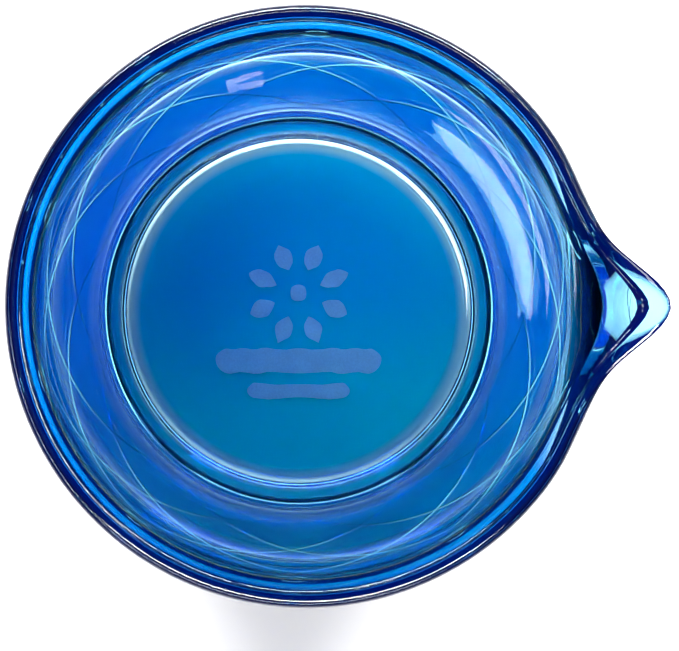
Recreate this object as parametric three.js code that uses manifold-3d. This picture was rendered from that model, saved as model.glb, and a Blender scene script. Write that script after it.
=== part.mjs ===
// A tall bar mixing glass: a barrel-shaped vessel of blue glass with a beaded, flared rim, one pulled
// pouring lip, a diamond lattice cut round the outside, and a frosted enamel emblem let into the underside.
// Millimetres, +Z up. The origin is where the glass's axis meets the surface that it stands on, and the
// pouring lip points along +X.

import * as THREE from "three";
import { mergeVertices } from "three/addons/utils/BufferGeometryUtils.js";
import Module from "manifold-3d";

const wasm = await Module();
wasm.setup();

// Overall sizes
const height = 148;
const rimRadius = 47.5; // outside of the bead
const lipLength = 10.5; // from the circle of the rim to the pouring tip

// Wall: one arc from the heel to the neck, widest at the belly
const bellyRadius = 47.4;
const bellyHeight = 106;
const footRadius = 38.6;
const wallThickness = 3.5;

// Base
const heelRadius = 4.5;
const floorThickness = 22;
const floorFillet = 6;

// Rim
const beadHeight = 4.4;
const beadWidth = 2.3;
const beadFullness = 0.7; // the power by which its section swells: 1 is an ellipse, less is fuller
const neckDrop = 8; // from the top of the rim to where the wall starts to flare
const flareLedge = 0.3; // from the top of the flare to the inside of the bead
const flareDrop = 1.5; // from the top of the rim to where the flare runs into the bead
const flareCurl = 1.6; // the power by which it opens towards the top

// Pouring lip
const lipHeight = 24; // the part of the wall that is pulled out
const lipSpread = THREE.MathUtils.degToRad(9.2);
const lipThinning = 1.3; // how much thinner the rim is at the tip
const lipCurl = 3.6; // the power by which the lip leans out towards the top
const lipRoundness = { outside: 2, inside: 1.6 }; // powers of its fold: 2 is a bell, less is more pointed
const pinchDepth = 0.4; // the rim draws in on both sides of the lip
const pinchAngle = THREE.MathUtils.degToRad(24);
const pinchSpread = THREE.MathUtils.degToRad(7);

// Diamond lattice
const latticeColumns = 10;
const latticeHalfRows = 4;
const latticeDrop = 26; // from the top of the rim to the upper corners
const halfRowHeight = 22;
const latticeTurn = THREE.MathUtils.degToRad(15.5); // from the lip to the first peak
const grooveWidth = 1.5;
const grooveDepth = 0.55;
const grooveGap = 0.02; // share of a groove left uncut above its bottom corner

// Emblem under the base
const pocketDepth = 0.45;
const enamelRecess = 0.1; // from the standing surface up to the enamel
const enamelClearance = 0.1; // beside the enamel in its pocket
const rosetteCentre = 3.6; // in front of the axis
const petalCount = 8;
const petalInner = 5;
const petalOuter = 11;
const petalWidth = 3.6;
const hubRadius = 1.7;
const wideBar = { length: 34, width: 5 };
const narrowBar = { length: 21, width: 3 };
const rosetteGap = 0.3; // between the circle of the petals' tips and the wide bar
const barGap = 2.2; // between the two bars

// Fineness of the facets
const turnSteps = 64;
const heelSteps = 4;
const wallSteps = 6;
const beadSteps = 6;
const flareSteps = 3;
const filletSteps = 4;
const grooveStepsPerHalfRow = 3;
const emblemSteps = 5; // of each curve of an emblem piece
const lipCrowding = 0.5; // how much closer the facets lie by the lip than at the back
const mergeDistance = 0.001;

// ---- Outline of the wall -------------------------------------------------------------------------

const neckHeight = height - neckDrop;
const beadFoot = height - beadHeight;
const latticeTop = height - latticeDrop;
const barrelDrop = bellyHeight - heelRadius;
const barrelSag = bellyRadius - footRadius;
const barrelArc = (barrelSag ** 2 + barrelDrop ** 2) / (2 * barrelSag);

// Outside radius of the barrel at height z.
function barrelRadius(z) {
  return bellyRadius - barrelArc + Math.sqrt(barrelArc ** 2 - (z - bellyHeight) ** 2);
}

function lerp(a, b, share) {
  return a + (b - a) * share;
}

// The half outline, from the middle of the underside, up the outside, over the rim and down the inside to
// the middle of the floor. Each point is [radius, height, side], where side is 0 outside and 1 inside.
function outline() {
  const points = [[0, 0, 0]];
  const heelCentre = footRadius - heelRadius;
  for (let i = 0; i <= heelSteps; i++) {
    const a = (i / heelSteps) * (Math.PI / 2);
    points.push([heelCentre + heelRadius * Math.sin(a), heelRadius * (1 - Math.cos(a)), 0]);
  }
  for (let i = 1; i <= wallSteps; i++) {
    const z = lerp(heelRadius, neckHeight, i / wallSteps);
    points.push([barrelRadius(z), z, 0]);
  }
  const beadMiddle = rimRadius - beadWidth / 2;
  for (let i = 0; i <= beadSteps; i++) {
    const a = (i / beadSteps) * Math.PI;
    const r = beadMiddle + (beadWidth / 2) * Math.cos(a);
    points.push([r, beadFoot + beadHeight * Math.sin(a) ** beadFullness, i / beadSteps]);
  }
  points.pop();
  const neckInside = barrelRadius(neckHeight) - wallThickness;
  const flareReach = rimRadius - beadWidth - flareLedge - neckInside;
  for (let i = flareSteps; i >= 0; i--) {
    const share = i / flareSteps;
    const z = lerp(neckHeight, height - flareDrop, share);
    points.push([neckInside + flareReach * share ** flareCurl, z, 1]);
  }
  const filletTop = floorThickness + floorFillet;
  for (let i = 1; i <= wallSteps; i++) {
    const z = lerp(neckHeight, filletTop, i / wallSteps);
    points.push([barrelRadius(z) - wallThickness, z, 1]);
  }
  const filletCentre = barrelRadius(filletTop) - wallThickness - floorFillet;
  for (let i = 1; i <= filletSteps; i++) {
    const a = (i / filletSteps) * (Math.PI / 2);
    const r = filletCentre + floorFillet * Math.cos(a);
    points.push([r, filletTop - floorFillet * Math.sin(a), 1]);
  }
  points.push([0, floorThickness, 1]);
  return points;
}

// ---- Pouring lip ---------------------------------------------------------------------------------

// How far the wall is pulled out at an angle from the lip and a height, on its outside (side 0) or inside.
function lipPull(angle, z, side) {
  const lean = Math.max(0, (z - height + lipHeight) / lipHeight) ** lipCurl;
  const reach = lipLength + side * lipThinning;
  const roundness = lerp(lipRoundness.outside, lipRoundness.inside, side);
  const fold = Math.exp(-(Math.abs(angle / lipSpread) ** roundness));
  const pinch = Math.exp(-(((Math.abs(angle) - pinchAngle) / pinchSpread) ** 2));
  return lean * (reach * fold - pinchDepth * pinch);
}

// ---- Solids --------------------------------------------------------------------------------------

function solidFrom(geometry) {
  const bare = geometry.clone();
  bare.deleteAttribute("normal");
  bare.deleteAttribute("uv");
  const merged = mergeVertices(bare, mergeDistance);
  const mesh = new wasm.Mesh({
    numProp: 3,
    vertProperties: new Float32Array(merged.attributes.position.array),
    triVerts: new Uint32Array(merged.index.array),
  });
  return new wasm.Manifold(mesh);
}

function geometryFrom(solid) {
  const mesh = solid.getMesh();
  const geometry = new THREE.BufferGeometry();
  geometry.setAttribute("position", new THREE.BufferAttribute(mesh.vertProperties, 3));
  geometry.setIndex(new THREE.BufferAttribute(mesh.triVerts, 1));
  geometry.computeVertexNormals();
  return geometry;
}

// The vessel before cutting: the outline turned round the axis, then pulled out at the lip.
function vesselBlank() {
  const points = outline();
  const profile = points.map(([r, z]) => new THREE.Vector2(r, z));
  const geometry = new THREE.LatheGeometry(profile, turnSteps);
  const position = geometry.attributes.position;
  for (let i = 0; i < position.count; i++) {
    const [r, z, side] = points[i % points.length];
    const turn = (Math.floor(i / points.length) % turnSteps) * ((2 * Math.PI) / turnSteps);
    const angle = turn - lipCrowding * Math.sin(turn);
    const fromLip = Math.atan2(Math.sin(angle), Math.cos(angle));
    const pulled = r + (r > 0 ? lipPull(fromLip, z, side) : 0);
    position.setXYZ(i, pulled * Math.cos(angle), pulled * Math.sin(angle), z);
  }
  return geometry;
}

// A line of the lattice on the barrel: it starts at a peak and winds down one way or the other. The V
// section that is swept along it stands square to the wall.
class LatticeLine extends THREE.Curve {
  constructor(start, way) {
    super();
    this.start = start;
    this.turn = (way * latticeHalfRows * Math.PI) / latticeColumns;
    this.drop = latticeHalfRows * halfRowHeight;
  }
  getPoint(t, target = new THREE.Vector3()) {
    const run = t * (1 - grooveGap);
    const angle = this.start + this.turn * run;
    const z = latticeTop - this.drop * run;
    const r = barrelRadius(z);
    return target.set(r * Math.cos(angle), r * Math.sin(angle), z);
  }
  computeFrenetFrames(segments) {
    const frames = { tangents: [], normals: [], binormals: [] };
    for (let i = 0; i <= segments; i++) {
      const tangent = this.getTangent(i / segments);
      const point = this.getPoint(i / segments);
      const outward = new THREE.Vector3(point.x, point.y, 0).normalize();
      outward.addScaledVector(tangent, -outward.dot(tangent)).normalize();
      frames.tangents.push(tangent);
      frames.normals.push(outward);
      frames.binormals.push(new THREE.Vector3().crossVectors(tangent, outward));
    }
    return frames;
  }
  getPointAt(u, target) {
    return this.getPoint(u, target);
  }
}

// The V that is cut along a lattice line: x is out of the wall, y along it. It is twice the size of the
// groove, so that its wide end stands clear of the wall.
function grooveSection() {
  return new THREE.Shape([
    new THREE.Vector2(-grooveDepth, 0),
    new THREE.Vector2(grooveDepth, -grooveWidth),
    new THREE.Vector2(grooveDepth, grooveWidth),
  ]);
}

function latticeCutters() {
  const section = grooveSection();
  const steps = latticeHalfRows * grooveStepsPerHalfRow;
  const cutters = [];
  for (let column = 0; column < latticeColumns; column++) {
    const start = latticeTurn + (column * 2 * Math.PI) / latticeColumns;
    for (const way of [-1, 1]) {
      const extrudePath = new LatticeLine(start, way);
      cutters.push(new THREE.ExtrudeGeometry(section, { steps, bevelEnabled: false, extrudePath }));
    }
  }
  return cutters;
}

// ---- Emblem --------------------------------------------------------------------------------------

// Each shape is drawn round its own middle and grown by a margin on every side.
function petalShape(margin) {
  const inner = petalInner - margin;
  const outer = petalOuter + margin;
  const half = petalWidth / 2 + margin;
  const shape = new THREE.Shape();
  shape.moveTo(inner, 0);
  shape.quadraticCurveTo(lerp(inner, outer, 0.5), -2 * half, outer, 0);
  shape.quadraticCurveTo(lerp(inner, outer, 0.5), 2 * half, inner, 0);
  return shape;
}

function hubShape(margin) {
  return new THREE.Shape().absarc(0, 0, hubRadius + margin, 0, 2 * Math.PI);
}

// A bar with round ends.
function barShape(bar, margin) {
  const half = bar.width / 2 + margin;
  const straight = (bar.length - bar.width) / 2;
  const shape = new THREE.Shape();
  shape.absarc(straight, 0, half, -Math.PI / 2, Math.PI / 2);
  shape.absarc(-straight, 0, half, Math.PI / 2, (3 * Math.PI) / 2);
  return shape;
}

// What the emblem is made of: its name, outline and place on the underside.
function emblemPieces() {
  const pieces = [];
  for (let i = 0; i < petalCount; i++) {
    const turn = ((i + 0.5) * 2 * Math.PI) / petalCount;
    pieces.push({ name: `emblem_petal_${i + 1}`, shape: petalShape, y: rosetteCentre, turn });
  }
  pieces.push({ name: "emblem_hub", shape: hubShape, y: rosetteCentre, turn: 0 });
  const wide = (margin) => barShape(wideBar, margin);
  const narrow = (margin) => barShape(narrowBar, margin);
  const wideY = rosetteCentre - petalOuter - rosetteGap - wideBar.width / 2;
  const narrowY = wideY - wideBar.width / 2 - barGap - narrowBar.width / 2;
  pieces.push({ name: "emblem_bar_wide", shape: wide, y: wideY, turn: 0 });
  pieces.push({ name: "emblem_bar_narrow", shape: narrow, y: narrowY, turn: 0 });
  return pieces;
}

// A plate of an emblem piece's outline between two heights.
function plate(piece, margin, bottom, top) {
  const settings = { depth: top - bottom, bevelEnabled: false, curveSegments: emblemSteps };
  const geometry = new THREE.ExtrudeGeometry(piece.shape(margin), settings);
  geometry.rotateZ(piece.turn);
  geometry.translate(0, piece.y, bottom);
  return geometry;
}

// ---- Assembly ------------------------------------------------------------------------------------

function glassVessel() {
  let solid = solidFrom(vesselBlank());
  for (const cutter of latticeCutters()) {
    solid = solid.subtract(solidFrom(cutter));
  }
  for (const piece of emblemPieces()) {
    solid = solid.subtract(solidFrom(plate(piece, enamelClearance, -pocketDepth, pocketDepth)));
  }
  return geometryFrom(solid);
}

const glass = new THREE.MeshStandardMaterial({ color: 0x0868c8, roughness: 0.02, metalness: 0 });
const enamel = new THREE.MeshStandardMaterial({ color: 0xc9dcea, roughness: 0.8, metalness: 0 });

const mixingGlass = new THREE.Group();

const vessel = new THREE.Mesh(glassVessel(), glass);
vessel.name = "glass_vessel";
mixingGlass.add(vessel);

for (const piece of emblemPieces()) {
  const mesh = new THREE.Mesh(plate(piece, 0, enamelRecess, pocketDepth), enamel.clone());
  mesh.name = piece.name;
  mixingGlass.add(mesh);
}

export default mixingGlass;
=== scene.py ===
"""A tall blue bar mixing glass with a pouring lip, a cut diamond lattice and a frosted emblem under its base.

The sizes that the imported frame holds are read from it. The rest are properties, in metres unless a
property's unit says otherwise. The glass stands at the origin with its pouring lip along +X.
"""

import math

import bmesh
import bpy
from bpy.props import FloatProperty, FloatVectorProperty, IntProperty, PointerProperty
from mathutils import Matrix, Vector


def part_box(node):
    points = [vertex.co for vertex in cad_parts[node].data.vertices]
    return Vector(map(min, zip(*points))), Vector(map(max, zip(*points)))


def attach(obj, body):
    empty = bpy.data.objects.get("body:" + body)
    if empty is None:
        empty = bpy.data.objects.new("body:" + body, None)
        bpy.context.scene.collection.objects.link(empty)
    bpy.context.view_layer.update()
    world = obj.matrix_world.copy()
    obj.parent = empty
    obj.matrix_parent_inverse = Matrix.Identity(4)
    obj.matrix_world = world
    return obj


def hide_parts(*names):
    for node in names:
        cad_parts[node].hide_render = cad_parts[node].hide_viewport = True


bl_info = {
    "name": "Mixing Glass",
    "version": (1, 0, 0),
    "blender": (4, 5, 0),
    "location": "3D View > Sidebar > Mixing Glass",
    "description": "Makes a blue bar mixing glass, its frosted emblem and a plain studio for them",
    "category": "Add Mesh",
}

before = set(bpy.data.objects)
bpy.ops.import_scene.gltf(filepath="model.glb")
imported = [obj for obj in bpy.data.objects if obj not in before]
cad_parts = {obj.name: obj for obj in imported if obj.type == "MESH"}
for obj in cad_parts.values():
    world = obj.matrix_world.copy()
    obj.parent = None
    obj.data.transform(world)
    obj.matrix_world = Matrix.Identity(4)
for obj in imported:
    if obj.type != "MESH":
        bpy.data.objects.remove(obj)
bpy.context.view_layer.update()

MM = 0.001
FULL_TURN = 2 * math.pi
VESSEL_NODE = "glass_vessel"
VESSEL_LOW, VESSEL_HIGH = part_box(VESSEL_NODE)
HEIGHT = VESSEL_HIGH[2]
LIP_REACH = VESSEL_HIGH[0]
RIM_RADIUS = -VESSEL_LOW[0]

LIGHT_NAMES = ("key", "fill", "side", "glint")
LIGHT_KEYS = ("turn", "rise", "size", "depth", "power")
LIGHT_DISTANCE = 1.1
FLOOR_HALF_WIDTH = 4.0
FLOOR_GAP = 0.1 * MM
SKY_EDGE = 0.01
MIX_COLOUR_SOCKETS = (0, 6, 7)
MIX_COLOUR_OUTPUT = 2
LEVEL_EDGE = 1e-7


# ---- Settings --------------------------------------------------------------------------------------


def length(name, description, default):
    """A size in metres."""
    return FloatProperty(name=name, description=description, default=default, unit="LENGTH", precision=5)


def angle(name, description, degrees):
    """An angle, given in degrees."""
    return FloatProperty(name=name, description=description, default=math.radians(degrees), subtype="ANGLE")


def number(name, description, default):
    """A plain number."""
    return FloatProperty(name=name, description=description, default=default)


def colour(name, description, default):
    """A linear colour."""
    return FloatVectorProperty(
        name=name, description=description, default=default, size=3, min=0.0, max=1.0, subtype="COLOR"
    )


class VesselShape(bpy.types.PropertyGroup):
    """The wall, rim, lip and base of the glass."""

    belly_radius: length("Belly radius", "Outside radius where the barrel is widest", 47.4 * MM)
    belly_height: length("Belly height", "Height of the widest place", 106 * MM)
    foot_radius: length("Foot radius", "Outside radius just above the heel", 38.6 * MM)
    wall: length("Wall", "Thickness of the wall", 3.5 * MM)
    heel_radius: length("Heel radius", "Rounding between the wall and the underside", 4.5 * MM)
    floor_thickness: length("Floor thickness", "Glass under the floor of the well", 22 * MM)
    floor_fillet: length("Floor fillet", "Rounding between the wall and the floor inside", 6 * MM)
    bead_height: length("Bead height", "Height of the rounded rim", 4.4 * MM)
    bead_width: length("Bead width", "Width of the rounded rim", 2.3 * MM)
    bead_fullness: number("Bead fullness", "Power that makes the bead's outline fuller than an ellipse", 0.7)
    neck_drop: length("Neck drop", "From the top of the rim to where the inside starts to flare", 8 * MM)
    flare_ledge: length("Flare ledge", "From the top of the flare to the inside of the bead", 0.3 * MM)
    flare_drop: length("Flare drop", "From the top of the rim to the top of the flare", 1.5 * MM)
    flare_curl: number("Flare curl", "Power by which the inside flares out", 1.6)
    lip_height: length("Lip height", "Height of the wall that is pulled out into the lip", 24 * MM)
    lip_spread: angle("Lip spread", "Half width of the lip round the rim", 9.2)
    lip_thinning: length("Lip thinning", "How much thinner the rim is at the pouring tip", 1.3 * MM)
    lip_outside: number("Lip outside", "How full the outside of the lip is from above, 2 for a bell", 2.0)
    lip_inside: number("Lip inside", "The same for the inside of the lip", 1.6)
    lip_curl: number("Lip curl", "Power by which the lip leans out towards the top", 3.6)
    pinch_depth: length("Pinch depth", "How far the rim draws in beside the lip", 0.4 * MM)
    pinch_angle: angle("Pinch angle", "Where the rim draws in most", 24)
    pinch_spread: angle("Pinch spread", "How wide the draw-in is", 7)
    mould_ripple: length("Mould ripple", "Height of the turned rings left in the floor", 0.03 * MM)
    mould_pitch: length("Mould pitch", "Distance between those rings", 3.4 * MM)
    mould_calm: number("Mould calm", "Share of the floor's radius over which they fade at the fillet", 0.25)


class LatticeShape(bpy.types.PropertyGroup):
    """The diamond lattice cut into the outside of the wall."""

    columns: IntProperty(name="Columns", description="Diamonds round the glass", default=10, min=3)
    top: length("Top", "Height of the upper corners", 122 * MM)
    half_row: length("Half row", "Height of half a diamond", 22 * MM)
    rows: IntProperty(name="Rows", description="Full diamonds from top to bottom", default=2, min=1)
    turn: angle("Turn", "From the pouring lip to the first upper corner", 15.5)
    groove_width: length("Groove width", "Width of a cut at the surface", 1.5 * MM)
    groove_depth: length("Groove depth", "Depth of a cut", 0.55 * MM)
    end_gap: number("End gap", "Share of a full row that a cut stops short of its lower corner", 0.035)
    run_in: number("Run in", "Share of a full row over which a cut gets to its depth", 0.02)
    run_out: number("Run out", "Share of a full row over which a cut gets shallow at its end", 0.05)


class EmblemShape(bpy.types.PropertyGroup):
    """The frosted enamel patches under the base."""

    petal_outer: length("Petal tip", "From the rosette's middle to a petal's tip", 11 * MM)
    petal_inner: length("Petal root", "From the rosette's middle to a petal's root", 5 * MM)
    petal_width: length("Petal width", "Widest part of a petal", 3.6 * MM)
    edge_round: length("Edge round", "Rounding of the enamel's edges", 0.08 * MM)


class GlassFinish(bpy.types.PropertyGroup):
    """Colours and polish of the glass and the enamel."""

    wall_tint: colour("Wall tint", "Outside of the wall", (0.0, 0.0006, 0.075))
    # Partly real, partly painted light: the cuts are clear glass where the coat is cut away, and this pale
    # tint fades out down the wall as painted shade on the lower cuts.
    cut_tint: colour("Cut tint", "The cuts of the lattice, high on the wall", (0.12, 0.80, 1.0))
    neck_tint: colour("Neck tint", "Outside of the neck, under the bead", (0.0, 0.15, 0.95))
    rim_tint: colour("Rim tint", "Outside of the bead", (0.0, 0.02, 1.0))
    lip_tint: colour("Lip tint", "The pouring lip", (0.26, 0.66, 0.82))
    # Painted light: a faint blue emission on the bead, a glow that stands in for light guided up the wall.
    painted_rim_glow: colour("Edge glow", "Light that the wall guides up into the rim", (0.0, 0.002, 0.05))
    base_tint: colour("Base tint", "Underside of the base", (0.0, 0.64, 1.0))
    # Painted light: this paler tint of the underside stands in for light falling on the -Y side of the base.
    base_painted_light_tint: colour("Light base tint", "The underside away from the emblem", (0.0, 1.0, 1.0))
    heel_tint: colour("Heel tint", "The rounding round the base", (0.9, 1.0, 1.0))
    inner_tint: colour("Inner tint", "Inside of the glass", (0.55, 0.92, 1.0))
    body_tint: colour("Body tint", "What the depth of the glass takes towards", (0.0, 0.9, 1.0))
    body_density: number("Body density", "How fast the depth of the glass takes colour, per metre", 9.0)
    refraction: number("Refraction", "Index of refraction", 1.52)
    gloss: number("Gloss", "How much the glass mirrors head-on, 0.5 for its refraction", 0.10)
    polish: number("Polish", "Roughness of the polished glass", 0.004)
    neck_start: length("Neck start", "From the top of the rim to where the neck's tint starts", 16 * MM)
    neck_end: length("Neck end", "From the top of the rim to where the neck's tint is full", 11 * MM)
    rim_start: length("Rim start", "From the top of the rim to where the bead's tint starts", 5.5 * MM)
    rim_end: length("Rim end", "From the top of the rim to where the bead's tint is full", 4 * MM)
    lip_root: length("Lip root", "Distance from the axis where the lip's tint starts", 38 * MM)
    lip_shoulder: length("Lip shoulder", "Distance from the axis where the lip's tint is full", 48 * MM)
    lip_foot: length("Lip foot", "From the top of the rim to where the lip's tint starts", 34 * MM)
    lip_brow: length("Lip brow", "From the top of the rim to where the lip's tint is full", 14 * MM)
    heel_start: length("Heel start", "Radius at which the heel's tint starts", 32.2 * MM)
    heel_end: length("Heel end", "Radius at which the heel's tint is full", 34.6 * MM)
    # Painted light: where the painted lighter underside starts and is full across the base towards -Y, and
    # the noise that bends its edge.
    painted_light_base_start: length("Light base start", "Where across the base the light tint starts", -4 * MM)
    painted_light_base_end: length("Light base end", "Where across the base the light tint is full", 30 * MM)
    cloud_scale: number("Cloud scale", "Scale of the noise that bends the edge of the light tint", 26.0)
    cloud_reach: length("Cloud reach", "How far that noise bends it", 8 * MM)
    smear_scale: number("Smear scale", "Scale of the faint smears on the polish", 90.0)
    smear_haze: number("Smear haze", "Roughness that the smears add", 0.012)
    wave_scale: number("Wave scale", "Scale of the waviness of the pressed glass", 55.0)
    wave_height: length("Wave height", "Height of that waviness", 0.4 * MM)
    enamel: colour("Enamel", "Colour of the frosted enamel", (0.80, 0.88, 0.94))
    enamel_dark: number("Enamel dark", "Share of its colour that the enamel keeps in its darker spots", 0.82)


class Studio(bpy.types.PropertyGroup):
    """Floor, light and camera."""

    camera_rise: length("Camera rise", "Height of the camera above the rim", 440 * MM)
    camera_x: length("Camera X", "Where the camera stands along the lip", -5.6 * MM)
    camera_y: length("Camera Y", "Where the camera stands across the lip", -3.3 * MM)
    aim_x: length("Aim X", "What the middle of the picture shows on the rim's plane", 5.06 * MM)
    aim_y: length("Aim Y", "What the middle of the picture shows on the rim's plane", -3.03 * MM)
    field: length("Field", "Width of the rim's plane that the picture shows", 106 * MM)
    floor_tone: number("Floor tone", "Grey of the floor", 0.82)
    # Painted shade: the floor is painted darker away from the glass, a pool of light round it and shade
    # further out.
    floor_painted_shade_tone: number("Far floor tone", "Grey of the floor further out", 0.24)
    floor_near: length("Near floor", "How far from the glass the floor starts to get darker", 0.13)
    floor_far: length("Far floor", "How far from the glass the floor has its far tone", 0.32)
    floor_cloud: length("Floor cloud", "How far that change wanders in and out", 20 * MM)
    sky: number("Sky", "Strength of the light all round", 0.08)
    sky_gap: number("Sky gap", "Sine of the elevation above which the sky is dark", 0.95)
    key_turn: angle("Key turn", "Direction of the large softbox, from the lip", 88)
    key_rise: angle("Key rise", "Elevation of the large softbox", 43)
    key_size: length("Key size", "Width of the large softbox", 1.3)
    key_depth: length("Key depth", "Height of the large softbox", 0.45)
    key_power: number("Key power", "Power of the large softbox in watts", 78.0)
    fill_turn: angle("Fill turn", "Direction of the softbox opposite the key, from the lip", 262)
    fill_rise: angle("Fill rise", "Elevation of that softbox", 41)
    fill_size: length("Fill size", "Width of that softbox", 1.1)
    fill_depth: length("Fill depth", "Height of that softbox", 0.4)
    fill_power: number("Fill power", "Power of that softbox in watts", 11.0)
    side_turn: angle("Side turn", "Direction of the high softbox at the side, from the lip", 206)
    side_rise: angle("Side rise", "Elevation of that softbox", 74)
    side_size: length("Side size", "Width of that softbox", 0.26)
    side_depth: length("Side depth", "Height of that softbox", 0.18)
    side_power: number("Side power", "Power of that softbox in watts", 3.2)
    glint_turn: angle("Glint turn", "Direction of the small high light, from the lip", 287)
    glint_rise: angle("Glint rise", "Elevation of that light", 76)
    glint_size: length("Glint size", "Width of that light", 0.04)
    glint_depth: length("Glint depth", "Height of that light", 0.04)
    glint_power: number("Glint power", "Power of that light in watts", 0.15)


# ---- Outline of the wall ---------------------------------------------------------------------------


def lerp(low, high, share):
    """The value at that share of the way."""
    return low + (high - low) * share


def smooth(share):
    """0 to 1 with level ends."""
    share = min(1.0, max(0.0, share))
    return share * share * (3 - 2 * share)


class Wall:
    """The half outline of the vessel and its pulled lip, in metres."""

    def __init__(self, shape):
        self.shape = shape
        drop = shape.belly_height - shape.heel_radius
        sag = shape.belly_radius - shape.foot_radius
        self.arc = (sag * sag + drop * drop) / (2 * sag)
        self.neck = HEIGHT - shape.neck_drop

    def barrel(self, z):
        """Outside radius of the barrel at height z."""
        drop = z - self.shape.belly_height
        return self.shape.belly_radius - self.arc + math.sqrt(self.arc**2 - drop * drop)

    def heel(self, steps):
        """Underside and heel, from the axis out."""
        radius = self.shape.heel_radius
        middle = self.shape.foot_radius - radius
        points = [(middle * i / steps, 0.0) for i in range(1, steps)]
        for i in range(steps + 1):
            a = i / steps * math.pi / 2
            points.append((middle + radius * math.sin(a), radius * (1 - math.cos(a))))
        return points

    def outside(self, low, high, steps):
        """The barrel from just above one height up to another."""
        heights = [lerp(low, high, i / steps) for i in range(1, steps + 1)]
        return [(self.barrel(z), z) for z in heights]

    def bead(self, steps):
        """The rounded rim from outside to inside, with each point's share of the way in."""
        shape = self.shape
        middle = RIM_RADIUS - shape.bead_width / 2
        foot = HEIGHT - shape.bead_height
        points = []
        for i in range(steps):
            a = i / steps * math.pi
            rise = shape.bead_height * math.sin(a) ** shape.bead_fullness
            points.append((middle + shape.bead_width / 2 * math.cos(a), foot + rise, i / steps))
        return points

    def flare(self, steps):
        """The inside of the rim, from the bead down to the neck."""
        inside = self.barrel(self.neck) - self.shape.wall
        reach = RIM_RADIUS - self.shape.bead_width - self.shape.flare_ledge - inside
        top = HEIGHT - self.shape.flare_drop
        points = []
        for i in range(steps, -1, -1):
            share = i / steps
            points.append((inside + reach * share**self.shape.flare_curl, lerp(self.neck, top, share)))
        return points

    def well(self, steps, fillet_steps, floor_steps):
        """The inside from just below the neck down to the middle of the floor."""
        shape = self.shape
        fillet = shape.floor_fillet
        fillet_top = shape.floor_thickness + fillet
        points = []
        for i in range(1, steps + 1):
            z = lerp(self.neck, fillet_top, i / steps)
            points.append((self.barrel(z) - shape.wall, z))
        middle = self.barrel(fillet_top) - shape.wall - fillet
        for i in range(1, fillet_steps + 1):
            a = i / fillet_steps * math.pi / 2
            points.append((middle + fillet * math.cos(a), fillet_top - fillet * math.sin(a)))
        for i in range(1, floor_steps):
            share = i / floor_steps
            radius = middle * (1 - share)
            ripple = math.sin(FULL_TURN * radius / shape.mould_pitch) * smooth(share / shape.mould_calm)
            points.append((radius, shape.floor_thickness + shape.mould_ripple * ripple))
        return points

    def place(self, r, z, turn, side):
        """Where a point of the outline stands once it is turned and pulled out at the lip."""
        shape = self.shape
        from_lip = abs(math.remainder(turn, FULL_TURN))
        lean = max(0.0, (z - HEIGHT + shape.lip_height) / shape.lip_height) ** shape.lip_curl
        if lean:
            reach = LIP_REACH - RIM_RADIUS + side * shape.lip_thinning
            fullness = lerp(shape.lip_outside, shape.lip_inside, side)
            fold = math.exp(-((from_lip / shape.lip_spread) ** fullness))
            pinch = math.exp(-(((from_lip - shape.pinch_angle) / shape.pinch_spread) ** 2))
            r += lean * (reach * fold - shape.pinch_depth * pinch)
        return Vector((r * math.cos(turn), r * math.sin(turn), z))


# ---- Lattice ---------------------------------------------------------------------------------------


class Lattice:
    """The cut wall as a net of skew lines that follow the cuts, so that every cut has clean edges.

    A place on the wall is u columns round the glass and v full rows down it. The cuts are the lines on
    which u - v or u + v is a whole number.
    """

    def __init__(self, shape, wall):
        self.shape = shape
        self.wall = wall
        self.column = FULL_TURN / shape.columns
        self.row = 2 * shape.half_row
        radius = wall.barrel(shape.top - self.row)
        self.slope = math.hypot(1 / (self.column * radius), 1 / self.row)
        self.offsets = self.spread(shape.groove_width / 2 * self.slope)

    @staticmethod
    def spread(half_width, cut_steps=4, shoulder=1.45, field_step=0.04):
        """Where the net's lines stand across one column: close together at a cut, wider between cuts."""
        near = [half_width * i / cut_steps for i in range(cut_steps + 1)] + [half_width * shoulder]
        gaps = math.ceil((1 - 2 * near[-1]) / field_step)
        field = [lerp(near[-1], 1 - near[-1], i / gaps) for i in range(1, gaps)]
        return near + field + [1 - step for step in reversed(near[1:])]

    def line(self, index):
        """The place of the net's line of that index."""
        column, step = divmod(index, len(self.offsets))
        return column + self.offsets[step]

    def turns(self):
        """The angles of the upright lines above and below the net."""
        count = self.shape.columns * len(self.offsets)
        return [self.shape.turn + self.column * self.line(i) for i in range(count)]

    def cut(self, p, q, v):
        """Depth of the cut at a place of the net."""
        shape = self.shape
        nearest = min(abs(p - round(p)), abs(q - round(q))) / self.slope
        depth = shape.groove_depth * max(0.0, 1 - nearest / (shape.groove_width / 2))
        run_in = smooth(v / shape.run_in)
        run_out = smooth((shape.rows - shape.end_gap - v) / shape.run_out)
        return depth * run_in * run_out

    def place(self, i, k):
        """The net's point on its line i, k lines further round the other way, and its share of a cut."""
        p = self.line(i)
        q = self.line(i + k)
        v = (q - p) / 2
        z = self.shape.top - self.row * v
        turn = self.shape.turn + self.column * (p + q) / 2
        depth = self.cut(p, q, v)
        return self.wall.place(self.wall.barrel(z) - depth, z, turn, 0.0), depth / self.shape.groove_depth


# ---- Meshes ----------------------------------------------------------------------------------------

HEEL_STEPS = 12
FOOT_STEPS = 16
NECK_STEPS = 10
BEAD_STEPS = 16
FLARE_STEPS = 10
WELL_STEPS = 60
FILLET_STEPS = 20
FLOOR_STEPS = 40
PETAL_STEPS = 14
DISC_STEPS = 48
BAR_END_STEPS = 16
BEVEL_STEPS = 2


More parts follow.
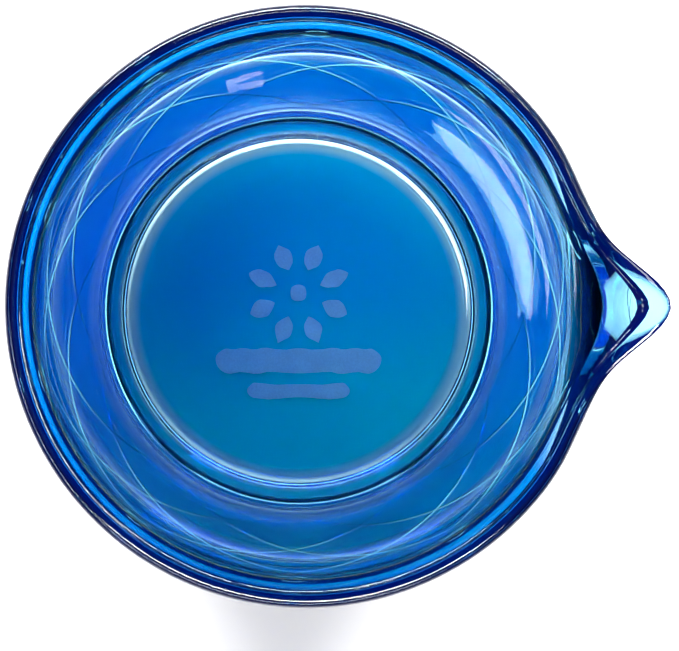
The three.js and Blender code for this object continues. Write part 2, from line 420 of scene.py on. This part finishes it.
def add_ring(mesh, wall, turns, point, side):
    """A ring of vertices round the glass, marked with the side of the wall that it is on."""
    r, z = point[:2]
    inner_side = mesh.verts.layers.float["inner_side"]
    ring = []
    for turn in turns:
        vertex = mesh.verts.new(wall.place(r, z, turn, side))
        vertex[inner_side] = side
        ring.append(vertex)
    return ring


def skin(mesh, lower, upper):
    """Faces between two rings of the same count. The faces look away from the axis if upper is higher."""
    count = len(lower)
    for i in range(count):
        j = (i + 1) % count
        mesh.faces.new((lower[i], lower[j], upper[j], upper[i]))


def cap(mesh, ring, height, down):
    """A fan that closes a ring with a vertex on the axis."""
    middle = mesh.verts.new((0, 0, height))
    inner_side = mesh.verts.layers.float["inner_side"]
    middle[inner_side] = ring[0][inner_side]
    for i, vertex in enumerate(ring):
        other = ring[(i + 1) % len(ring)]
        mesh.faces.new((middle, other, vertex) if down else (middle, vertex, other))


def add_net(mesh, lattice):
    """The cut band of the wall. Gives its lowest and highest ring, from the first column on."""
    per_column = len(lattice.offsets)
    count = lattice.shape.columns * per_column
    depth = 2 * lattice.shape.rows * per_column
    cut = mesh.verts.layers.float["cut"]
    net = []
    for i in range(count):
        line = []
        for k in range(depth + 1):
            place, share = lattice.place(i, k)
            vertex = mesh.verts.new(place)
            vertex[cut] = share
            line.append(vertex)
        net.append(line)

    def at(i, k):
        return net[i % count][k]

    for i in range(count):
        for k in range(depth + 1):
            corners = [at(i, k)]
            if k < depth:
                corners.append(at(i, k + 1))
            corners.append(at(i + 1, k))
            if k > 0:
                corners.append(at(i + 1, k - 1))
            mesh.faces.new(corners)
    shift = lattice.shape.rows * per_column
    lowest = [at(i - shift, depth) for i in range(count)]
    return lowest, [at(i, 0) for i in range(count)]


def vessel_mesh(settings, lattice_settings):
    """The vessel as one closed mesh: underside, cut wall, rim with its lip, and the well."""
    wall = Wall(settings)
    lattice = Lattice(lattice_settings, wall)
    turns = lattice.turns()
    mesh = bmesh.new()
    for name in ("inner_side", "cut"):
        mesh.verts.layers.float.new(name)
    net_low, net_high = add_net(mesh, lattice)
    net_foot = lattice_settings.top - 2 * lattice_settings.rows * lattice_settings.half_row

    below = wall.heel(HEEL_STEPS)
    below += wall.outside(settings.heel_radius, net_foot, FOOT_STEPS)[:-1]
    rings = [add_ring(mesh, wall, turns, point, 0.0) for point in below] + [net_low]
    for lower, upper in zip(rings, rings[1:]):
        skin(mesh, lower, upper)
    cap(mesh, rings[0], 0.0, True)

    neck = wall.outside(lattice_settings.top, wall.neck, NECK_STEPS)
    rings = [net_high] + [add_ring(mesh, wall, turns, p, 0.0) for p in neck]
    rings += [add_ring(mesh, wall, turns, p, p[2]) for p in wall.bead(BEAD_STEPS)]
    inner = wall.flare(FLARE_STEPS) + wall.well(WELL_STEPS, FILLET_STEPS, FLOOR_STEPS)
    rings += [add_ring(mesh, wall, turns, p, 1.0) for p in inner]
    for lower, upper in zip(rings, rings[1:]):
        skin(mesh, lower, upper)
    cap(mesh, rings[-1], settings.floor_thickness, False)
    return mesh


def petal_outline(shape, steps=PETAL_STEPS):
    """A pointed petal that lies along +X, as points round it."""
    points = []
    for side in (-1, 1):
        for i in range(steps):
            share = i / steps if side < 0 else 1 - i / steps
            x = lerp(shape.petal_inner, shape.petal_outer, share)
            points.append((x, side * shape.petal_width * 2 * share * (1 - share)))
    return points


def disc_outline(radius, steps=DISC_STEPS):
    """A circle, as points round it."""
    return [
        (radius * math.cos(FULL_TURN * i / steps), radius * math.sin(FULL_TURN * i / steps))
        for i in range(steps)
    ]


def bar_outline(size_x, size_y, steps=BAR_END_STEPS):
    """A bar with round ends, as points round it."""
    half = size_y / 2
    straight = size_x / 2 - half
    points = []
    for end in (1, -1):
        for i in range(steps + 1):
            a = (i / steps - 0.5) * math.pi
            points.append((end * (straight + half * math.cos(a)), end * half * math.sin(a)))
    return points


def patch_mesh(outline, low, high, edge_round):
    """A thin plate of that outline with rounded edges."""
    mesh = bmesh.new()
    bottom = mesh.faces.new([mesh.verts.new((x, y, low)) for x, y in outline])
    grown = bmesh.ops.extrude_face_region(mesh, geom=[bottom])["geom"]
    lifted = [item for item in grown if isinstance(item, bmesh.types.BMVert)]
    bmesh.ops.translate(mesh, verts=lifted, vec=(0, 0, high - low))
    rims = [edge for edge in mesh.edges if abs(edge.verts[0].co.z - edge.verts[1].co.z) < LEVEL_EDGE]
    bmesh.ops.bevel(mesh, geom=rims, offset=edge_round, segments=BEVEL_STEPS, affect="EDGES")
    bmesh.ops.recalc_face_normals(mesh, faces=mesh.faces)
    return mesh


def add_piece(name, mesh, material, smooth_faces=True):
    """Turns a bmesh into an object of the scene."""
    data = bpy.data.meshes.new(name)
    mesh.to_mesh(data)
    mesh.free()
    data.polygons.foreach_set("use_smooth", [smooth_faces] * len(data.polygons))
    data.materials.append(material)
    piece = bpy.data.objects.new(name, data)
    bpy.context.scene.collection.objects.link(piece)
    return piece


# ---- Materials -------------------------------------------------------------------------------------


class Wire:
    """A socket that takes part in Python sums. Each operator adds its Math node."""

    def __init__(self, tree, socket):
        self.tree = tree
        self.socket = socket

    def math(self, operation, *values):
        return self.tree.node("ShaderNodeMath", {"operation": operation}, dict(enumerate(values)))

    def __add__(self, other):
        return self.math("ADD", self, other)

    def __sub__(self, other):
        return self.math("SUBTRACT", self, other)

    def __mul__(self, other):
        return self.math("MULTIPLY", self, other)

    def __truediv__(self, other):
        return self.math("DIVIDE", self, other)

    def __radd__(self, other):
        return self.math("ADD", other, self)

    def __rsub__(self, other):
        return self.math("SUBTRACT", other, self)

    def __rmul__(self, other):
        return self.math("MULTIPLY", other, self)

    def root(self):
        """The square root."""
        return self.math("SQRT", self)

    def ramp(self, low, high):
        """0 below low, 1 above high, smooth between them."""
        settings = {"interpolation_type": "SMOOTHSTEP"}
        sockets = {"Value": self, "From Min": low, "From Max": high}
        return self.tree.node("ShaderNodeMapRange", settings, sockets)


class Tree:
    """A node tree with one way to add nodes."""

    def __init__(self, owner):
        owner.use_nodes = True
        self.tree = owner.node_tree
        self.tree.nodes.clear()

    def node(self, kind, settings=None, sockets=None, output=0):
        """Adds a node, sets it, then feeds its sockets with values or wires. Gives one of its outputs."""
        added = self.tree.nodes.new(kind)
        for key, value in (settings or {}).items():
            setattr(added, key, value)
        for key, value in (sockets or {}).items():
            if isinstance(value, Wire):
                self.tree.links.new(value.socket, added.inputs[key])
            else:
                added.inputs[key].default_value = value
        return Wire(self, added.outputs[output]) if added.outputs else None

    def blend(self, factor, low, high):
        """A colour between two colours."""
        colours = (value if isinstance(value, Wire) else (*value, 1.0) for value in (low, high))
        sockets = dict(zip(MIX_COLOUR_SOCKETS, (factor, *colours)))
        return self.node("ShaderNodeMix", {"data_type": "RGBA"}, sockets, MIX_COLOUR_OUTPUT)

    def place(self):
        """The object's own coordinates as three wires, and the vector itself."""
        vector = self.node("ShaderNodeTexCoord", output="Object")
        parts = [self.node("ShaderNodeSeparateXYZ", sockets={0: vector}, output=i) for i in range(3)]
        return vector, parts

    def attribute(self, name):
        """A number that the mesh holds at each vertex."""
        return self.node("ShaderNodeAttribute", {"attribute_name": name}, output="Fac")

    def noise(self, vector, scale, detail=2.0):
        """Smooth noise with its middle near 0.5."""
        sockets = {"Vector": vector, "Scale": scale, "Detail": detail}
        return self.node("ShaderNodeTexNoise", None, sockets, "Fac")


def blue_glass(finish, vessel, lattice):
    """Polished blue glass: paler at the lip and the heel, deeper round the cut wall, a little wavy. It
    carries painted light: a paler underside towards -Y, cuts painted pale only high on the wall, and a faint
    painted glow on the rim.
    """
    material = bpy.data.materials.new("blue_glass")
    tree = Tree(material)
    vector, (x, y, z) = tree.place()
    radius = (x * x + y * y).root()
    inner = tree.attribute("inner_side")
    cut = tree.attribute("cut")

    on_neck = z.ramp(HEIGHT - finish.neck_start, HEIGHT - finish.neck_end)
    on_rim = z.ramp(HEIGHT - finish.rim_start, HEIGHT - finish.rim_end)
    # Partly painted light: the cuts are pale where the coat is cut away, but only high on the wall; lower
    # down the pale tint is painted out as shade.
    cut_clear_and_lit_high = cut * z.ramp(lattice.top - 3 * lattice.half_row, lattice.top - lattice.half_row)
    on_lip = x.ramp(finish.lip_root, finish.lip_shoulder) * z.ramp(
        HEIGHT - finish.lip_foot, HEIGHT - finish.lip_brow
    )
    on_base = 1 - z.ramp(vessel.heel_radius, vessel.heel_radius * 2)
    on_heel = on_base * radius.ramp(finish.heel_start, finish.heel_end)
    # Painted light: the underside is painted paler towards -Y, with a noisy edge, as though lit from that
    # side.
    towards_lit_side = tree.noise(vector, finish.cloud_scale) * finish.cloud_reach - y
    on_painted_light_base = towards_lit_side.ramp(finish.painted_light_base_start, finish.painted_light_base_end)

    tint = tree.blend(on_neck, finish.wall_tint, finish.neck_tint)
    tint = tree.blend(on_rim, tint, finish.rim_tint)
    tint = tree.blend(cut_clear_and_lit_high, tint, finish.cut_tint)
    base = tree.blend(on_painted_light_base, finish.base_tint, finish.base_painted_light_tint)
    tint = tree.blend(on_base, tint, base)
    tint = tree.blend(on_heel, tint, finish.heel_tint)
    tint = tree.blend(inner, tint, finish.inner_tint)
    tint = tree.blend(on_lip, tint, finish.lip_tint)

    smears = tree.noise(vector, finish.smear_scale, 5.0)
    ripple = tree.noise(vector, finish.wave_scale, 1.0)
    wave = {"Strength": 0.04, "Distance": finish.wave_height, "Height": ripple * (1 - on_neck)}
    shader = tree.node(
        "ShaderNodeBsdfPrincipled",
        None,
        {
            # Painted light: faint blue emission on the bead, which glows though it is no lamp.
            "Emission Color": tree.blend(on_rim, (0, 0, 0), finish.painted_rim_glow),
            "Emission Strength": 1.0,
            "Base Color": tint,
            "Roughness": finish.polish + finish.smear_haze * smears.ramp(0.62, 0.8),
            "Normal": tree.node("ShaderNodeBump", None, wave),
            "IOR": finish.refraction,
            "Specular IOR Level": finish.gloss,
            "Transmission Weight": 1.0,
        },
    )
    volume = tree.node(
        "ShaderNodeVolumeAbsorption",
        None,
        {"Color": (*finish.body_tint, 1.0), "Density": finish.body_density},
    )
    tree.node("ShaderNodeOutputMaterial", None, {"Surface": shader, "Volume": volume})
    return material


def frosted_enamel(finish):
    """Fired matt enamel with the fine speckle of its grains."""
    material = bpy.data.materials.new("frosted_enamel")
    tree = Tree(material)
    vector, _ = tree.place()
    grain = tree.noise(vector, 2600.0, 3.0)
    cloud = tree.noise(vector, 160.0)
    shade = 0.35 * grain + 0.35 * cloud
    dark = tuple(channel * finish.enamel_dark for channel in finish.enamel)
    tint = tree.blend(shade.ramp(0.2, 0.5), dark, finish.enamel)
    bump = tree.node("ShaderNodeBump", None, {"Strength": 0.3, "Distance": 0.03 * MM, "Height": grain})
    shader = tree.node(
        "ShaderNodeBsdfPrincipled",
        None,
        {"Base Color": tint, "Roughness": 0.62 + 0.2 * grain, "Normal": bump},
    )
    tree.node("ShaderNodeOutputMaterial", None, {"Surface": shader})
    return material


def studio_floor(studio):
    """A pale floor with a painted pool of light: lightest round the glass, painted darker further out as
    shade.
    """
    material = bpy.data.materials.new("studio_floor")
    tree = Tree(material)
    vector, (x, y, _) = tree.place()
    away = (x * x + y * y).root() + studio.floor_cloud * tree.noise(vector, 3.0)
    near, far = ((tone,) * 3 for tone in (studio.floor_tone, studio.floor_painted_shade_tone))
    tint = tree.blend(away.ramp(studio.floor_near, studio.floor_far), near, far)
    sockets = {"Base Color": tint, "Roughness": 0.9, "Specular IOR Level": 0.0}
    shader = tree.node("ShaderNodeBsdfPrincipled", None, sockets)
    tree.node("ShaderNodeOutputMaterial", None, {"Surface": shader})
    return material


# ---- Operators -------------------------------------------------------------------------------------


class MIXINGGLASS_OT_vessel(bpy.types.Operator):
    """Make the glass vessel with its rim, pouring lip, cut lattice and thick base"""

    bl_idname = "mixing_glass.vessel"
    bl_label = "Vessel"

    def execute(self, context):
        scene = context.scene
        material = blue_glass(scene.glass_finish, scene.vessel_shape, scene.lattice_shape)
        mesh = vessel_mesh(scene.vessel_shape, scene.lattice_shape)
        piece = add_piece("vessel_of_blue_glass", mesh, material)
        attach(piece, "root")
        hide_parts(VESSEL_NODE)
        return {"FINISHED"}


class MIXINGGLASS_OT_emblem(bpy.types.Operator):
    """Make the frosted emblem under the base: a rosette of petals round a hub, and two bars"""

    bl_idname = "mixing_glass.emblem"
    bl_label = "Emblem"

    def execute(self, context):
        scene = context.scene
        shape = scene.emblem_shape
        material = frosted_enamel(scene.glass_finish)
        hub_low, hub_high = (Vector(corner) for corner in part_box("emblem_hub"))
        middle = (hub_low + hub_high) / 2
        for node in sorted(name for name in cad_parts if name.startswith("emblem_")):
            low, high = (Vector(corner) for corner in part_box(node))
            centre = (low + high) / 2
            size = high - low
            turn = 0.0
            if "petal" in node:
                outline = petal_outline(shape)
                turn = math.atan2(centre.y - middle.y, centre.x - middle.x)
                centre = middle
            elif "bar" in node:
                outline = bar_outline(size.x, size.y)
            else:
                outline = disc_outline(size.x / 2)
            mesh = patch_mesh(outline, low.z, high.z, shape.edge_round)
            place = Matrix.Translation((centre.x, centre.y, 0)) @ Matrix.Rotation(turn, 4, "Z")
            mesh.transform(place)
            piece = add_piece(node.replace("emblem_", "enamel_"), mesh, material, smooth_faces=False)
            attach(piece, "root")
            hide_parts(node)
        return {"FINISHED"}


def add_softbox(name, turn, rise, size, depth, power):
    """A softbox that looks at the middle of the glass."""
    light = bpy.data.lights.new(name, "AREA")
    light.energy = power
    light.shape = "RECTANGLE"
    light.size = size
    light.size_y = depth
    lamp = bpy.data.objects.new(name, light)
    away = Vector((math.cos(turn) * math.cos(rise), math.sin(turn) * math.cos(rise), math.sin(rise)))
    lamp.location = away * LIGHT_DISTANCE + Vector((0, 0, HEIGHT / 2))
    lamp.rotation_euler = away.to_track_quat("Z", "Y").to_euler()
    bpy.context.scene.collection.objects.link(lamp)


def add_sky(studio):
    """Faint even light all round, dark only straight above, where the camera stands."""
    world = bpy.data.worlds.new("studio_sky")
    tree = Tree(world)
    towards = tree.node("ShaderNodeTexCoord", output="Generated")
    rise = tree.node("ShaderNodeSeparateXYZ", sockets={0: towards}, output=2)
    strength = studio.sky * (1 - rise.ramp(studio.sky_gap - SKY_EDGE, studio.sky_gap))
    background = tree.node("ShaderNodeBackground", None, {"Color": (1, 1, 1, 1), "Strength": strength})
    tree.node("ShaderNodeOutputWorld", None, {"Surface": background})
    bpy.context.scene.world = world


def add_camera(studio):
    """The camera almost straight above the glass, with the lip to the right."""
    data = bpy.data.cameras.new("camera")
    camera = bpy.data.objects.new("camera", data)
    bpy.context.scene.collection.objects.link(camera)
    stand = Vector((studio.camera_x, studio.camera_y, HEIGHT + studio.camera_rise))
    aim = Vector((studio.aim_x, studio.aim_y, HEIGHT))
    back = (stand - aim).normalized()
    right = Vector((0, 1, 0)).cross(back).normalized()
    facing = Matrix((right, back.cross(right), back)).transposed().to_4x4()
    camera.matrix_world = Matrix.Translation(stand) @ facing
    data.lens = data.sensor_width * (stand - aim).length / studio.field
    data.clip_start = 10 * MM
    bpy.context.scene.camera = camera


class MIXINGGLASS_OT_stage(bpy.types.Operator):
    """Make the camera, the pale floor and the soft light"""

    bl_idname = "mixing_glass.stage"
    bl_label = "Stage"

    def execute(self, context):
        studio = context.scene.glass_studio
        add_camera(studio)
        mesh = bmesh.new()
        bmesh.ops.create_grid(mesh, x_segments=1, y_segments=1, size=FLOOR_HALF_WIDTH)
        floor = add_piece("studio_floor", mesh, studio_floor(studio))
        floor.location.z = -FLOOR_GAP
        add_sky(studio)
        for name in LIGHT_NAMES:
            add_softbox(f"{name}_softbox", *(getattr(studio, f"{name}_{key}") for key in LIGHT_KEYS))
        context.scene.view_settings.view_transform = "Standard"
        return {"FINISHED"}


class MIXINGGLASS_PT_tools(bpy.types.Panel):
    """Lists the steps that make the mixing glass"""

    bl_label = "Mixing Glass"
    bl_idname = "MIXINGGLASS_PT_tools"
    bl_space_type = "VIEW_3D"
    bl_region_type = "UI"
    bl_category = "Mixing Glass"

    def draw(self, context):
        for step in STEPS:
            self.layout.operator(step.bl_idname)
        for name in SETTINGS:
            group = getattr(context.scene, name)
            box = self.layout.box()
            for key in group.__annotations__:
                box.prop(group, key)


SETTINGS = {
    "vessel_shape": VesselShape,
    "lattice_shape": LatticeShape,
    "emblem_shape": EmblemShape,
    "glass_finish": GlassFinish,
    "glass_studio": Studio,
}
STEPS = (MIXINGGLASS_OT_stage, MIXINGGLASS_OT_vessel, MIXINGGLASS_OT_emblem)
CLASSES = (*SETTINGS.values(), *STEPS, MIXINGGLASS_PT_tools)


def register():
    """Registers the classes and hangs the settings on the scene."""
    for item in CLASSES:
        bpy.utils.register_class(item)
    for name, group in SETTINGS.items():
        setattr(bpy.types.Scene, name, PointerProperty(type=group))


def unregister():
    """Takes back what register did."""
    for name in SETTINGS:
        delattr(bpy.types.Scene, name)
    for item in reversed(CLASSES):
        bpy.utils.unregister_class(item)


def main():
    register()
    bpy.ops.mixing_glass.stage()
    bpy.ops.mixing_glass.vessel()
    bpy.ops.mixing_glass.emblem()


if __name__ == "__main__":
    main()
